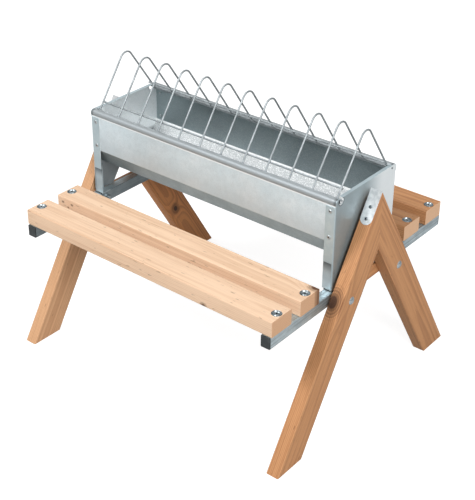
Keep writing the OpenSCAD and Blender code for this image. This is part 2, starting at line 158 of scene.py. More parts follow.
class Graph:
    """The nodes of one material or world."""

    def __init__(self, tree: bpy.types.NodeTree) -> None:
        """Empties a node tree, which is then filled."""
        self.tree = tree
        tree.nodes.clear()

    def node(
        self,
        kind: str,
        settings: dict[str, object] | None = None,
        inputs: dict[int | str, object] | None = None,
    ) -> bpy.types.Node:
        """Adds any node.

        Args:
            kind: The node's type.
            settings: Its own settings, set before its sockets.
            inputs: Values, colours or links of its sockets, by name or number.

        Returns:
            The node.
        """
        made = self.tree.nodes.new(kind)
        for key, setting in (settings or {}).items():
            setattr(made, key, setting)
        for key, value in (inputs or {}).items():
            self.plug(made.inputs[key], value)
        return made

    def plug(self, socket: Socket, value: object) -> None:
        """Sets or links one socket.

        Args:
            socket: The input.
            value: A Value, a socket, a number, a vector or a colour.
        """
        source = value.source if isinstance(value, Value) else value
        if isinstance(source, Socket):
            self.tree.links.new(source, socket)
        elif socket.type == "RGBA" and len(source) == 3:
            socket.default_value = (*source, 1.0)
        else:
            socket.default_value = source

    def place(self) -> Socket:
        """The point on the object, in metres in the object's own frame."""
        return self.node("ShaderNodeTexCoord").outputs["Object"]

    def facing(self) -> Socket:
        """The surface direction in the object's own frame."""
        return self.node("ShaderNodeTexCoord").outputs["Normal"]

    def vector(self, operation: str, *values: object, out: str = "Vector") -> Socket:
        """One output of a new Vector Math node, with its inputs in order."""
        node = self.node("ShaderNodeVectorMath", {"operation": operation}, dict(enumerate(values)))
        return node.outputs[out]

    def along(self, point: object, direction: Sequence[float]) -> Value:
        """How far a point lies along a direction."""
        return Value(self, self.vector("DOT_PRODUCT", point, tuple(direction), out="Value"))

    def axes(self, point: object) -> tuple[Value, Value, Value]:
        """How far a point lies along X, Y and Z."""
        return tuple(self.along(point, axis) for axis in (X_AXIS, Y_AXIS, Z_AXIS))

    def join(self, x: object, y: object, z: object) -> Socket:
        """A vector from three values."""
        return self.node("ShaderNodeCombineXYZ", None, {0: x, 1: y, 2: z}).outputs[0]

    def noise(self, point: object, scale: float, detail: float = 2.0, rough: float = 0.5) -> Value:
        """Soft noise around 0.5, with scale features in a metre and detail finer layers."""
        inputs = {"Vector": point, "Scale": scale, "Detail": detail, "Roughness": rough}
        return Value(self, self.node("ShaderNodeTexNoise", None, inputs).outputs[0])

    def cells(self, point: object, scale: float) -> Value:
        """A random number for each cell of a pattern.

        Args:
            point: The point on the object.
            scale: How many cells go in a metre.

        Returns:
            The number, between 0 and 1.
        """
        node = self.node("ShaderNodeTexVoronoi", None, {"Vector": point, "Scale": scale})
        parts = self.node("ShaderNodeSeparateColor", None, {0: node.outputs["Color"]})
        return Value(self, parts.outputs[0])

    def blend(self, factor: object, a: object, b: object) -> Socket:
        """A mix of two colours; factor is how much of the second."""
        settings = {"data_type": "RGBA", "clamp_factor": True}
        return self.node("ShaderNodeMix", settings, {0: factor, 6: a, 7: b}).outputs[2]

    def bump(self, height: Value, strength: float, depth: float) -> Socket:
        """A normal from a height between 0 and 1, where 1 is depth metres high."""
        inputs = {"Strength": strength, "Distance": depth, "Height": height}
        return self.node("ShaderNodeBump", None, inputs).outputs[0]

    def surface(self, **inputs: object) -> None:
        """Adds the surface shader and the output.

        Args:
            inputs: The shader's sockets, with underscores for the spaces in their names.
        """
        named = {key.replace("_", " "): value for key, value in inputs.items()}
        shader = self.node("ShaderNodeBsdfPrincipled", None, named)
        self.node("ShaderNodeOutputMaterial", None, {"Surface": shader.outputs[0]})


def new_graph(name: str) -> tuple[Material, Graph]:
    """A new material and its graph.

    Args:
        name: The material's name.

    Returns:
        The material and its graph.
    """
    material = bpy.data.materials.new(name)
    material.use_nodes = True
    return material, Graph(material.node_tree)


def shade(colour: Colour, share: float) -> Colour:
    """A colour made darker, or paler where share is above 1."""
    return tuple(c * share for c in colour)


# Timber


@dataclass(frozen=True)
class Grain:
    """How one piece was sawn from its log.

    Attributes:
        origin: A point on the piece's long axis, in metres.
        along: The direction of the fibres.
        across: The direction across the wide face.
        deep: The direction into the piece.
        pith: Where the middle of the log lies, across and deep, in metres.
        shift: How far the pattern is moved along, so that no two pieces match.
    """

    origin: Point
    along: Point
    across: Point
    deep: Point
    pith: tuple[float, float]
    shift: float


@dataclass(frozen=True)
class Knot:
    """A knot, where a branch ran through the piece.

    Attributes:
        along: Its place along the piece, in metres.
        across: Its place across the face that it shows on, in metres.
        radius: Its radius, in metres.
        through: Whether it runs right through, along the deep direction, or else starts at the
            narrow face on the low side across and fades out.
    """

    along: float
    across: float
    radius: float
    through: bool = True


@dataclass(frozen=True)
class Timber:
    """Planed softwood with rings, fibres, knots and end grain.

    Attributes:
        early: Colour of the wood that grew in spring.
        late: Colour of the dark lines.
        knot: Colour of the knots.
        sawn: Colour of the sawn ends.
        ring: Width of a ring, in metres.
        contrast: How strongly the dark lines show.
        narrow: Distance of the narrow face from the middle, in metres.
        fade: How fast a knot fades below that face, in radii per metre.
        wander: How far the rings wander, in metres.
    """

    early: Colour = (0.822, 0.586, 0.408)
    late: Colour = (0.52, 0.27, 0.13)
    knot: Colour = (0.105, 0.042, 0.017)
    sawn: Colour = (0.635, 0.368, 0.212)
    ring: float = 0.0042
    contrast: float = 0.38
    narrow: float = 0.038
    fade: float = 45.0
    wander: float = 0.016

    def branches(
        self, knots: Sequence[Knot], length: Value, across: Value, deep: Value, bend: Value
    ) -> tuple[Value | float, Value | float, Value | float]:
        """Lays out the knots.

        Args:
            knots: The knots.
            length: The place along the piece.
            across: The place across it.
            deep: The place into it.
            bend: How the rings are bent.

        Returns:
            How far knots push the rings aside, where they are dark, and where they are ringed.
        """
        flow = spots = rings = 0.0
        for k in knots:
            up = length - k.along
            side = (across if k.through else deep) - k.across
            ratio = (up * up + side * side * 2.0).root() / k.radius
            if not k.through:
                ratio = (across + self.narrow).clamped() * self.fade + ratio
            flow = (ratio * ratio * -0.16).maths("EXPONENT") * 2.4 + flow
            spots = ratio.step(0.85, 0.45) * 0.6 + ratio.step(1.45, 1.0) * 0.4 + spots
            ripple = (ratio * 3.6 + bend * 2).maths("FRACT").step(0.2, 0.9)
            rings = ripple * ratio.step(1.8, 1.3) + rings
        return flow, spots, rings

    def material(self, name: str, grain: Grain, knots: Sequence[Knot] = ()) -> Material:
        """Makes the finish of one piece.

        Args:
            name: The material's name.
            grain: How the piece was sawn.
            knots: Its knots.

        Returns:
            The material.
        """
        material, g = new_graph(name)
        point = g.vector("SUBTRACT", g.place(), grain.origin)
        ways = (grain.along, grain.across, grain.deep)
        length, across, deep = (g.along(point, way) for way in ways)
        run = length + grain.shift

        # Rings round the pith
        trunk = g.join(across, deep, run * 0.1)
        bend = g.noise(trunk, 14, 1.5) - 0.5
        bend_deep = g.noise(g.vector("ADD", trunk, (3.1, 1.7, 5.3)), 14, 1.5) - 0.5
        flow, spots, rings = self.branches(knots, length, across, deep, bend)
        ca = across - grain.pith[0] + bend * self.wander
        cb = deep - grain.pith[1] + bend_deep * self.wander
        age = (ca * ca + cb * cb).root() / self.ring + bend * 1.1 + flow
        turn = age.maths("FRACT")
        line = turn.step(0.3, 0.86) * turn.step(1.0, 0.93)
        thick = g.noise(g.join(age.maths("FLOOR"), 0.3, 0.7), 1.7, 0.0)

        # Fibres, pits and sawn ends
        threads = g.join(across, deep, run * 0.018)
        fibre = g.noise(threads, 620, 3.0, 0.6)
        streak = g.noise(threads, 120, 2.0, 0.55)
        patch = g.noise(g.join(across, deep, run * 0.3), 9, 2.0)
        pits = g.noise(g.join(across, deep, run * 0.16), 240, 1.0).step(0.7, 0.76)
        end = abs(g.along(g.facing(), grain.along)).step(0.55, 0.8)
        end_line = line * 0.5 + g.noise(g.join(across, deep, 0.0), 900, 2.0).step(0.5, 0.8) * 0.5
        end_colour = g.blend(end_line * 0.45, self.sawn, shade(self.sawn, 0.55))

        # Layers of colour, from the lowest
        layers = [
            (line * (thick * 0.75 + 0.25) * (fibre * 0.5 + 0.75) * self.contrast, self.late),
            ((streak - 0.46).clamped() * 1.2, self.late),
            ((0.49 - patch).clamped() * 2.0, shade(self.early, 1.04)),
            (fibre.step(0.54, 0.78) * 0.42, shade(self.late, 0.6)),
            (pits * 0.45, self.knot),
            (end * 0.85, end_colour),
        ]
        rough = fibre * 0.1 + end * 0.12 + 0.5 - line * 0.06
        if knots:
            spots = spots.clamped()
            layers += [(spots * 0.97, self.knot), (rings.clamped() * 0.45, self.knot)]
            rough = rough - spots * 0.08
        colour: object = self.early
        for share, over in layers:
            colour = g.blend(share, colour, over)
        g.surface(
            Base_Color=colour,
            Roughness=rough,
            Specular_IOR_Level=0.35,
            Normal=g.bump(fibre * 0.5 + line * -0.5 + 0.5, 0.35, 0.00025),
        )
        return material


# Metal

# Metal colours, most of them painted light and shade: a highlight where the rim starts (also the
# colour of real specks), shade inside the roll and at the rim's ends, light on the band's inner
# face, shade at its left end, a highlight on its fold, shade at the plate's inner foot, light on
# its back part, shade round the notch and below the bracket's seam
SPECK_AND_HIGHLIGHT = (0.86, 0.89, 0.9)
PAINTED_ROLL_SHADE = (0.03, 0.034, 0.036)
PAINTED_RIM_END_SHADE = (0.11, 0.128, 0.138)
PAINTED_LIT_BAND = (0.545, 0.57, 0.58)
PAINTED_LIT_BAND_SPECK = (0.93, 0.94, 0.945)
PAINTED_BAND_END_SHADE = (0.1, 0.124, 0.132)
PAINTED_FOLD_HIGHLIGHT = (0.93, 0.95, 0.955)
PAINTED_PLATE_FOOT_SHADE = (0.12, 0.146, 0.156)
PAINTED_PLATE_BACK_LIGHT = (0.9, 0.94, 0.955)
PAINTED_NOTCH_SHADE = (0.09, 0.105, 0.115)
PAINTED_SEAM_SHADE = (0.06, 0.078, 0.088)


@dataclass
class Coat:
    """What a finish has come to while its layers are added.

    Attributes:
        g: The graph that its nodes go into.
        point: The point on the object.
        specks: Where fine specks lie.
        colour: Its colour.
        rough: Its roughness.
        metal: How metallic it is.
    """

    g: Graph
    point: object
    specks: Value
    colour: object
    rough: Value
    metal: Value | float

    def tint(self, share: object, colour: object) -> None:
        """Lays a colour over what is there; share is how much of it shows."""
        self.colour = self.g.blend(share, self.colour, colour)


@dataclass(frozen=True)
class Metal:
    """A zinc or galvanised surface.

    Attributes:
        pale: Colour of its pale places.
        dull: Colour of its dull places.
        rough: Least roughness.
        rough_more: How much rougher its dull places are.
        patch: How many dull places go in a metre.
        spangle: How strongly crystals show.
        crystals: How many crystals go in a metre.
        speckle: How strongly fine specks show.
        wave: Height of slow waves in the sheet, in metres.
        metal: How metallic it is; oxide makes it less so.
        relief: Height of its fine unevenness, in metres.
    """

    pale: Colour
    dull: Colour
    rough: float
    rough_more: float = 0.1
    patch: float = 22.0
    spangle: float = 0.0
    crystals: float = 140.0
    speckle: float = 0.0
    wave: float = 0.0
    metal: float = 1.0
    relief: float = 0.0004

    def layers(self, coat: Coat) -> None:
        """Adds what only one kind of sheet has; plain metal adds nothing."""

    def material(self, name: str) -> Material:
        """Makes the finish.

        Args:
            name: The material's name.

        Returns:
            The material.
        """
        material, g = new_graph(name)
        point = g.place()
        patch = g.noise(point, self.patch, 3.0, 0.55)
        fine = g.noise(point, 700, 2.0, 0.6)
        specks = g.noise(point, 360, 1.0, 0.6).step(0.5, 0.62)
        base = g.blend(patch.step(0.3, 0.7), self.pale, self.dull)
        rough = patch.step(0.25, 0.75) * self.rough_more + fine * 0.06 + self.rough
        coat = Coat(g, point, specks, base, rough, self.metal)
        if self.spangle:
            crystal = g.cells(g.vector("ADD", point, (0.013, 0.021, 0.017)), self.crystals)
            coat.tint(crystal * self.spangle, self.dull)
            coat.rough = coat.rough + (crystal - 0.5) * self.spangle * 0.3
        self.layers(coat)
        if self.speckle:
            coat.tint(specks * self.speckle, SPECK_AND_HIGHLIGHT)
        height = fine * 0.04 + patch * 0.05 + specks * (self.speckle * 0.3)
        if self.wave:
            slow = g.vector("MULTIPLY", point, (0.55, 1.0, 1.0))
            height = g.noise(slow, 7.0, 1.0, 0.4) + height * 0.05
        g.surface(
            Base_Color=coat.colour,
            Metallic=coat.metal,
            Roughness=coat.rough,
            Normal=g.bump(height, 0.5, self.wave or self.relief),
        )
        return material


@dataclass(frozen=True)
class WallSheet(Metal):
    """The trough's wall: painted shade on its inner face and towards its fold, and rolled over at
    the top.

    Attributes:
        inner: Colour of the face that looks into the trough, darkened as painted shade.
        inner_metal: How metallic that face is.
        rim: Colour of the rolled rim, darker than the wall as painted shade.
        rim_y: Distance of the roll's middle from the middle of the trough, in metres.
        rim_z: Its height, in metres.
        rim_r: Its radius, in metres.
        fold_z: Height of the fold at the wall's foot, in metres.
    """

    inner: Colour = (0.3, 0.364, 0.378)
    inner_metal: float = 0.9
    rim: Colour = (0.33, 0.362, 0.378)
    rim_y: float = 0.113
    rim_z: float = 0.5865
    rim_r: float = 0.009
    fold_z: float = 0.478

    def layers(self, coat: Coat) -> None:
        """Adds painted shade inside and outside, wear outside, and the rim's painted shade and
        highlight.

        Args:
            coat: What is changed.
        """
        g = coat.g
        x, y, z = g.axes(coat.point)
        # Painted shade: the face that looks into the trough is darkened, more so towards the right
        # end, standing for a reflection of the dark inside
        within = (y * g.along(g.facing(), Y_AXIS)).step(0.0, -0.06) * z.step(0.58, 0.574)
        upright = g.vector("MULTIPLY", coat.point, (1.0, 0.0, 0.5))
        cloud = g.noise(upright, 5.0, 1.0).step(0.35, 0.65)
        painted_inside_shade = cloud * 0.45 + x.step(-0.36, 0.05) * 0.55
        coat.tint(within * 0.9, g.blend(painted_inside_shade * 0.75, self.inner, shade(self.inner, 0.45)))
        coat.tint(within * coat.specks * 0.1, self.pale)
        coat.metal = within * (self.inner_metal - self.metal) + self.metal

        # Wear of the outer face, with painted shade: darker in the middle, towards the right end
        # and towards the fold
        outside = 1.0 - within
        middle = x.step(-0.34, -0.12) * x.step(0.24, 0.02)
        mottle = g.noise(coat.point, 60, 2.0, 0.6).step(0.4, 0.66)
        worn = cloud * 0.2 + middle * 0.22 + x.step(0.05, 0.34) * 0.16
        worn = worn + coat.specks * 0.12 + mottle * 0.12
        coat.tint(outside * worn, shade(self.dull, 0.6))
        coat.tint(z.step(0.56, self.fold_z) * outside * 0.48, shade(self.pale, 0.5))

        # The rolled rim, darkened as painted shade, with a painted highlight where it starts and
        # painted shade inside the roll and at its ends
        rise, out = z - self.rim_z, abs(y) - self.rim_y
        spread = (rise * rise + out * out).root()
        inner_r, outer_r = self.rim_r - 0.0002, self.rim_r + 0.0002
        roll = spread.step(outer_r, inner_r)
        coat.tint(z.step(0.5772, 0.578) * spread.step(inner_r, outer_r) * 0.8, SPECK_AND_HIGHLIGHT)
        coat.tint(roll, self.rim)
        coat.tint(spread.step(0.0083, 0.0078), PAINTED_ROLL_SHADE)
        coat.tint(roll * abs(x).step(0.364, 0.371) * 0.75, PAINTED_RIM_END_SHADE)
        coat.rough = coat.rough + roll * 0.05


@dataclass(frozen=True)
class BandSheet(Metal):
    """The trough's sloping band, with painted shade at its left end and painted light on the
    speckled face that holds the feed.
    """

    def layers(self, coat: Coat) -> None:
        """Adds the painted shade at the left end, the painted light of the speckled inner face and
        a painted highlight along its fold.

        Args:
            coat: What is changed.
        """
        g = coat.g
        x, _, z = g.axes(coat.point)
        within = g.along(g.facing(), Z_AXIS).step(0.05, 0.2)
        # Painted shade at the left end, painted light on the face that looks up with its specks,
        # and a painted highlight along the fold
        coat.tint(x.step(-0.16, -0.34) * 0.62, PAINTED_BAND_END_SHADE)
        coat.tint(within, g.blend(coat.specks * 0.72, PAINTED_LIT_BAND, PAINTED_LIT_BAND_SPECK))
        coat.tint(within * z.step(0.4815, 0.4835) * 0.8, PAINTED_FOLD_HIGHLIGHT)


@dataclass(frozen=True)
class PlateSheet(Metal):
    """An end plate's sheet, painted darker towards the front flange and paler at the back, as
    painted shade and light.

    Attributes:
        inner: Colour of the face that looks into the trough, paler as painted light.
        notch_xy: Product of the notch's X and Y, the same at both plates, in square metres.
        notch_z: Height of the notch's middle, in metres.
    """

    inner: Colour = (0.79, 0.828, 0.842)
    notch_xy: float = -0.0383
    notch_z: float = 0.587

    def layers(self, coat: Coat) -> None:
        """Adds the painted light and shade of both faces and the painted shade round the notch.

        Args:
            coat: What is changed.
        """
        g = coat.g
        x, y, z = g.axes(coat.point)
        outward = x * g.along(g.facing(), X_AXIS)
        within, outside = outward.step(-0.2, -0.3), outward.step(0.2, 0.3)
        # Painted light: the inner face paler than the outer one, with painted shade at its foot
        # under the trough
        coat.tint(within, self.inner)
        coat.tint(within * coat.specks * 0.18, self.dull)
        coat.tint(within * z.step(0.478, 0.462) * 0.85, PAINTED_PLATE_FOOT_SHADE)
        # Painted shade on the outer face towards the front, and painted light on its back part
        coat.tint(outside * y.step(0.06, -0.09) * 0.66, shade(self.pale, 0.46))
        painted_lit_back = outside * y.step(-0.01, 0.07)
        coat.tint(painted_lit_back * 0.78, PAINTED_PLATE_BACK_LIGHT)
        coat.metal = painted_lit_back * -0.25 + self.metal
        # Painted shade: a dark ring round the notch
        across, down = x * y - self.notch_xy, z - self.notch_z
        ring = (across * across * 7.0 + down * down).root().step(0.0125, 0.01)
        coat.tint(ring * outside * 0.75, PAINTED_NOTCH_SHADE)


@dataclass(frozen=True)
class BracketSteel(Metal):
    """A foot bracket's steel, with painted shade just below the flange's seam."""

    def layers(self, coat: Coat) -> None:
        """Adds the painted shade."""
        # Painted shade just below the flange's seam
        coat.tint(coat.g.along(coat.point, Z_AXIS).step(0.405, 0.44) * 0.9, PAINTED_SEAM_SHADE)


@dataclass(frozen=True)
class DrawnTube(Metal):
    """A crossbar's steel, with painted shade on its inner side and the lines that drawing left
    along it.
    """

    def layers(self, coat: Coat) -> None:
        """Adds the lines and the painted shade of the inner side.

        Args:
            coat: What is changed.
        """
        g = coat.g
        drawn = g.vector("MULTIPLY", coat.point, (1.0, 0.02, 1.0))
        lines = g.noise(drawn, 260, 2.0, 0.6).step(0.46, 0.62)
        coat.tint(lines * 0.5, shade(self.dull, 0.45))
        # Painted shade on the side that faces the middle
        outward = g.along(coat.point, X_AXIS) * g.along(g.facing(), X_AXIS)
        coat.tint(outward.step(-0.1, -0.25) * 0.7, shade(self.dull, 0.3))


@dataclass(frozen=True)
class MouldedPlastic:
    """Black moulded plastic with a fine grain.

    Attributes:
        base: Its colour.
        worn: The colour of its rubbed places.
    """

    base: Colour = (0.018, 0.024, 0.026)
    worn: Colour = (0.05, 0.058, 0.06)

    def material(self, name: str) -> Material:
        """Makes the finish.

        Args:
            name: The material's name.

        Returns:
            The material.
        """
        material, g = new_graph(name)
        point = g.place()
        patch = g.noise(point, 60, 3.0, 0.6)
        g.surface(
            Base_Color=g.blend(patch.step(0.45, 0.75) * 0.6, self.base, self.worn),
            Roughness=patch * 0.14 + 0.36,
            Normal=g.bump(g.noise(point, 1500, 2.0, 0.6), 0.25, 0.0002),
        )
        return material


# Finishes that several pieces share

LEG_TIMBER = Timber(
    early=(0.57, 0.284, 0.128),
    late=(0.265, 0.095, 0.03),
    knot=(0.05, 0.019, 0.008),
    sawn=(0.8, 0.52, 0.33),
    contrast=0.68,
)
# The dark finish of the recesses in fastener heads is a painted shade
PAINTED_RECESS_SHADE = Metal((0.045, 0.052, 0.056), (0.03, 0.035, 0.038), 0.4)
BRIGHT = Metal((0.33, 0.372, 0.392), (0.22, 0.25, 0.265), 0.24, 0.08, 60, relief=0.00005)


# Pieces


def new_object(name: str, data: bpy.types.ID) -> bpy.types.Object:
    """Adds an object to the scene.

    Args:
        name: Its name.
        data: Its mesh, lamp or camera.

    Returns:
        The object.
    """
    made = bpy.data.objects.new(name, data)
    bpy.context.scene.collection.objects.link(made)
    return made


def new_piece(
    name: str,
    verts: Sequence[Vector],
    faces: Sequence[Sequence[int]],
    material: Material,
    angle: float = 40.0,
) -> bpy.types.Object:
    """Makes an object from a mesh in metres.

    Args:
        name: The piece's name.
        verts: Its points.
        faces: Its faces.
        material: Its finish.
        angle: Edges sharper than this stay sharp, in degrees.

    Returns:
        The object.
    """
    mesh = bpy.data.meshes.new(name)
    mesh.from_pydata(verts, [], faces)
    mesh.update()
    mesh.shade_smooth()
    mesh.set_sharp_from_angle(angle=math.radians(angle))
    mesh.materials.append(material)
    return new_object(name, mesh)


def seat_piece(piece: bpy.types.Object, body: Body, slot: Slot, *nodes: str) -> None:
    """Seats a piece on a body, in place of nodes.

    Args:
        piece: The piece.
        body: The body that it rides on.
        slot: The record's finish; not used.
        nodes: The nodes that it stands for.
    """
    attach(piece, body.value)
    if nodes:
        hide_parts(*nodes)
    log.info("piece %s rides on %s, %d faces", piece.name, body.value, len(piece.data.polygons))


def ease_node(
    node: str,
    width: float,
    material: Material,
    slot: Slot,
    angle: float = 38.0,
    segments: int = 2,
) -> None:
    """Copies a node of the frame, rounds its sharp edges and takes its place.

    Args:
        node: The node that is copied and replaced.
        width: Width of the rounding, in millimetres.
        material: The piece's finish.
        slot: The record's finish.
        angle: Edges sharper than this are rounded, in degrees.
        segments: How many steps the rounding has.
    """
    bm = bmesh.new()
    bm.from_mesh(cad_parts[node].data)
    bmesh.ops.remove_doubles(bm, verts=bm.verts, dist=1e-6)
    flat = math.radians(0.6)
    bmesh.ops.dissolve_limit(bm, angle_limit=flat, verts=bm.verts, edges=bm.edges)
    bm.verts.index_update()
    verts = [v.co.copy() for v in bm.verts]
    faces = [[v.index for v in f.verts] for f in bm.faces]
    bm.free()
    made = new_piece(node + "_eased", verts, faces, material)
    bevel = made.modifiers.new("eased", "BEVEL")
    bevel.width = width * MM
    bevel.segments = segments
    bevel.limit_method = "ANGLE"
    bevel.angle_limit = math.radians(angle)
    bevel.harden_normals = True
    bevel.miter_outer = "MITER_ARC"
    seat_piece(made, Body.FRAME, slot, node)


def turned(
    rings: Sequence[Ring], places: Sequence[Matrix], steps: int
) -> tuple[list[Vector], list[list[int]]]:
    """Turns a profile round its Z axis and repeats it.

    Args:
        rings: The profile's rings, each with its radius and height in millimetres, and its number
            of flats if it isn't round. Radius 0 closes an end.
        places: Where copies stand, in metres.
        steps: How many points a ring has.

    Returns:
        The points and faces.
    """
    verts: list[Vector] = []
    faces: list[list[int]] = []
    for place in places:
        rows: list[list[int]] = []
        for radius, height, *flats in rings:
            row = []
            for i in range(steps if radius else 1):
                turn, reach = 2 * math.pi * i / steps, radius
                if flats:
                    half = math.pi / flats[0]
                    reach *= math.cos(half) / math.cos((turn % (2 * half)) - half)
                spot = (reach * math.cos(turn), reach * math.sin(turn), height)
                row.append(len(verts))
                verts.append(place @ Vector([v * MM for v in spot]))
            rows.append(row)
        for low, high in zip(rows, rows[1:]):
            for i in range(steps):
                pairs = (low, i), (low, i + 1), (high, i + 1), (high, i)
                faces.append(list(dict.fromkeys(row[k % len(row)] for row, k in pairs)))
    return verts, faces


def fastener(
    name: str,
    node: str,
    rings: Sequence[Ring],
    places: Sequence[Matrix],
    steps: int,
    finish: Material,
    angle: float,
    sunk: int = 2,
) -> None:
    """Turns the fasteners that take the place of a node.

    Args:
        name: The piece's name.
        node: The node.
        rings: The profile's rings.
        places: Where copies stand, in metres.
        steps: How many points a ring has.
        finish: Their finish.
        angle: Edges sharper than this stay sharp, in degrees.
        sunk: How many bands of faces at the profile's end take the painted shade of a recess.
    """
    made = new_piece(name, *turned(rings, places, steps), finish, angle)
    # Painted shade: the recess faces take a dark finish
    if sunk:
        made.data.materials.append(PAINTED_RECESS_SHADE.material(name + "_recess"))
        bands = len(rings) - 1
        for face in made.data.polygons:
            if face.index // steps % bands >= bands - sunk:
                face.material_index = 1
    seat_piece(made, Body.FRAME, Slot.FASTENER, node)


def dress(stem: str, material: Material) -> None:
    """Gives nodes their finish.

    Args:
        stem: What their names start with.
        material: Their finish.
    """
    for name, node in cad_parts.items():
        if not name.startswith(stem):
            continue
        if node.material_slots:
            for place in node.material_slots:
                place.material = material
        else:
            node.data.materials.append(material)
        log.info("node %s has finish %s", name, material.name)


def at_corner(stem: str, sx: int, sy: int) -> str:
    """A node's name at one corner."""
    return "%s_%s_%s" % (stem, ENDS[sx], FACES[sy])


def placed(at: Sequence[float], up: Sequence[float]) -> Matrix:
    """The matrix in metres of a place in millimetres, with its Z axis along a direction."""
    turn = Vector(up).to_track_quat("Z", "Y").to_matrix().to_4x4()
    return Matrix.Translation(Vector(at) * MM) @ turn


# Sub-assemblies


@dataclass
class Trough:
    """The sheet trough with its end plates, rivets and foot brackets.

    Attributes:
        rivet_x: Distance of the rivets from the middle.
        plate_y: Half width over the flanges.
        rivet_zs: Heights of the rivets.
        head_d: Diameter of a rivet's head.
        head_t: Height of a rivet's head.
        shank_d: Diameter of a rivet's shank.
        sheets: Thickness of the sheets that a rivet holds.
    """

    rivet_x: float = 360.0
    plate_y: float = 121.0
    rivet_zs: tuple[float, ...] = (565.0, 500.0)
    head_d: float = 9.6
    head_t: float = 1.6
    shank_d: float = 4.8
    sheets: float = 2.0

    def build(self) -> None:
        """Builds and dresses the sub-assembly."""
        wall = WallSheet(
            (0.79, 0.872, 0.912), (0.68, 0.79, 0.84), 0.38,
            patch=14, spangle=0.35, wave=0.0014, metal=0.38,
        )
        band = BandSheet(
            (0.45, 0.54, 0.57), (0.37, 0.452, 0.482), 0.4,
            patch=20, spangle=0.35, speckle=0.08, metal=0.45,
        )
        plate = PlateSheet(
            (0.515, 0.612, 0.645), (0.425, 0.52, 0.555), 0.32,
            patch=18, spangle=0.35, wave=0.0012, metal=0.5,
        )
        floor = Metal(
            (0.76, 0.768, 0.772), (0.47, 0.48, 0.484), 0.44,
            patch=60, spangle=0.3, crystals=160, speckle=0.78, metal=0.7, relief=0.0012,
        )
        steel = BracketSteel((0.56, 0.64, 0.672), (0.45, 0.526, 0.558), 0.32, metal=0.65)
        dress("trough_wall", wall.material("trough_sheet"))
        dress("trough_band", band.material("trough_band_sheet"))
        dress("trough_floor", floor.material("trough_floor_sheet"))
        dress("end_plate", plate.material("end_plate_sheet"))
        dress("foot_bracket", steel.material("bracket_steel"))
        dress("foot_screws", BRIGHT.material("foot_screw_zinc"))
        # The foot pads are dressed as a black strip under each foot
        dress("foot_pads", MouldedPlastic().material("black_foot_strip"))
        self.rivets()

    def rivets(self) -> None:
        """Builds the rivets, each with the dimple that its mandrel left."""
        r, t, s = self.head_d / 2, self.head_t, self.shank_d / 2
        low = -self.sheets
        rings = [
            (0, low - 2.6), (s * 0.9, low - 2.6), (s * 1.4, low - 1.6), (s * 1.4, low - 0.4),
            (s, low), (s, 0), (r - 0.2, 0), (r, 0.12), (r, 0.4), (r - 0.45, 0.85), (r - 1.3, 1.25),
            (r - 2.3, t), (1.75, t), (1.45, t - 0.25), (1.4, t - 1.3), (0, t - 1.45),
        ]
        places = [
            placed((sx * self.rivet_x, sy * self.plate_y, z), (0, sy, 0))
            for sx, sy in CORNERS for z in self.rivet_zs
        ]
        zinc = Metal((0.56, 0.59, 0.6), (0.44, 0.47, 0.48), 0.28).material("rivet_zinc")
        fastener("rivet_heads", "trough_rivets", rings, places, 28, zinc, 40)


@dataclass
class Grille:
    """The hinged wire grille, with its weld beads.

    Attributes:
        wire_d: Diameter of the wire.
        wire_y: Distance of the outer wires from the middle.
        wire_z: Height of the outer wires.
        leg_a: Slope of the arch legs, in degrees.
        inner_up: Distance up the legs at which the inner wires are welded.
        foot_up: Distance up the legs of the beads at their feet.
        foot_in: How far those beads lie to the inner side.
        pitch: Spacing of the arches.
        count: Number of arches.
    """

    wire_d: float = 4.5
    wire_y: float = 101.5
    wire_z: float = 589.0
    leg_a: float = 54.86
    inner_up: float = 25.0
    foot_up: float = 2.5
    foot_in: float = 0.9
    pitch: float = 66.0
    count: int = 12

    def build(self) -> None:
        """Builds and dresses the sub-assembly."""
        wire = Metal(
            (0.4, 0.436, 0.45), (0.3, 0.33, 0.343), 0.56, 0.08, 45, metal=0.85, relief=0.00003
        )
        dress("grille_", wire.material("grille_wire"))
        self.welds()

    def welds(self) -> None:
        """Builds the small beads where wires are welded."""
        angle = math.radians(self.leg_a)
        cos_a, sin_a = math.cos(angle), math.sin(angle)
        spots: list[tuple[Vector, Vector]] = []
        for i in range(self.count):
            x = (i - (self.count - 1) / 2) * self.pitch
            for side in (-1, 1):
                leg = Vector((0, -side * cos_a, sin_a))
                foot = Vector((x, side * self.wire_y, self.wire_z))
                out = Vector((0, -side * sin_a, -cos_a))
                spots.append((foot + leg * self.foot_up + out * self.foot_in, leg))
                spots.append((foot + leg * self.inner_up + out * (self.wire_d / 2), out))
        rings = [(0, -1.5), (1.8, -1.2), (2.75, -0.3), (2.8, 0.3), (2.2, 1.1), (0, 1.5)]
        verts, faces = turned(rings, [placed(*spot) for spot in spots], 14)
        for i, vert in enumerate(verts):
            bead, own = divmod(i, len(verts) // len(spots))
            middle = spots[bead][0] * MM
            swell = 1 + 0.1 * math.sin(2.7 * own + 1.9 * bead)
            verts[i] = middle + (vert - middle) * swell
        zinc = Metal(
            (0.33, 0.355, 0.365), (0.22, 0.24, 0.25), 0.4, 0.12, 200, metal=0.6, relief=0.00005
        )
        made = new_piece("weld_beads", verts, faces, zinc.material("weld_zinc"), 60)
        seat_piece(made, Body.GRILLE, Slot.WIRE)


@dataclass
class Crossbars:
    """The two steel crossbars with their caps.

    Attributes:
        ease: Rounding of the caps' edges.
    """

    ease: float = 0.9

    def build(self) -> None:
        """Builds and dresses the sub-assembly."""
        tube = DrawnTube((0.6, 0.7, 0.74), (0.44, 0.53, 0.57), 0.34, 0.12, 30, 0.2, 220, metal=0.75)
        dress("crossbar", tube.material("crossbar_zinc"))
        black = MouldedPlastic().material("cap_plastic")
        for signs in CORNERS:
            ease_node(at_corner("cap", *signs), self.ease, black, Slot.PLASTIC, 50, 3)


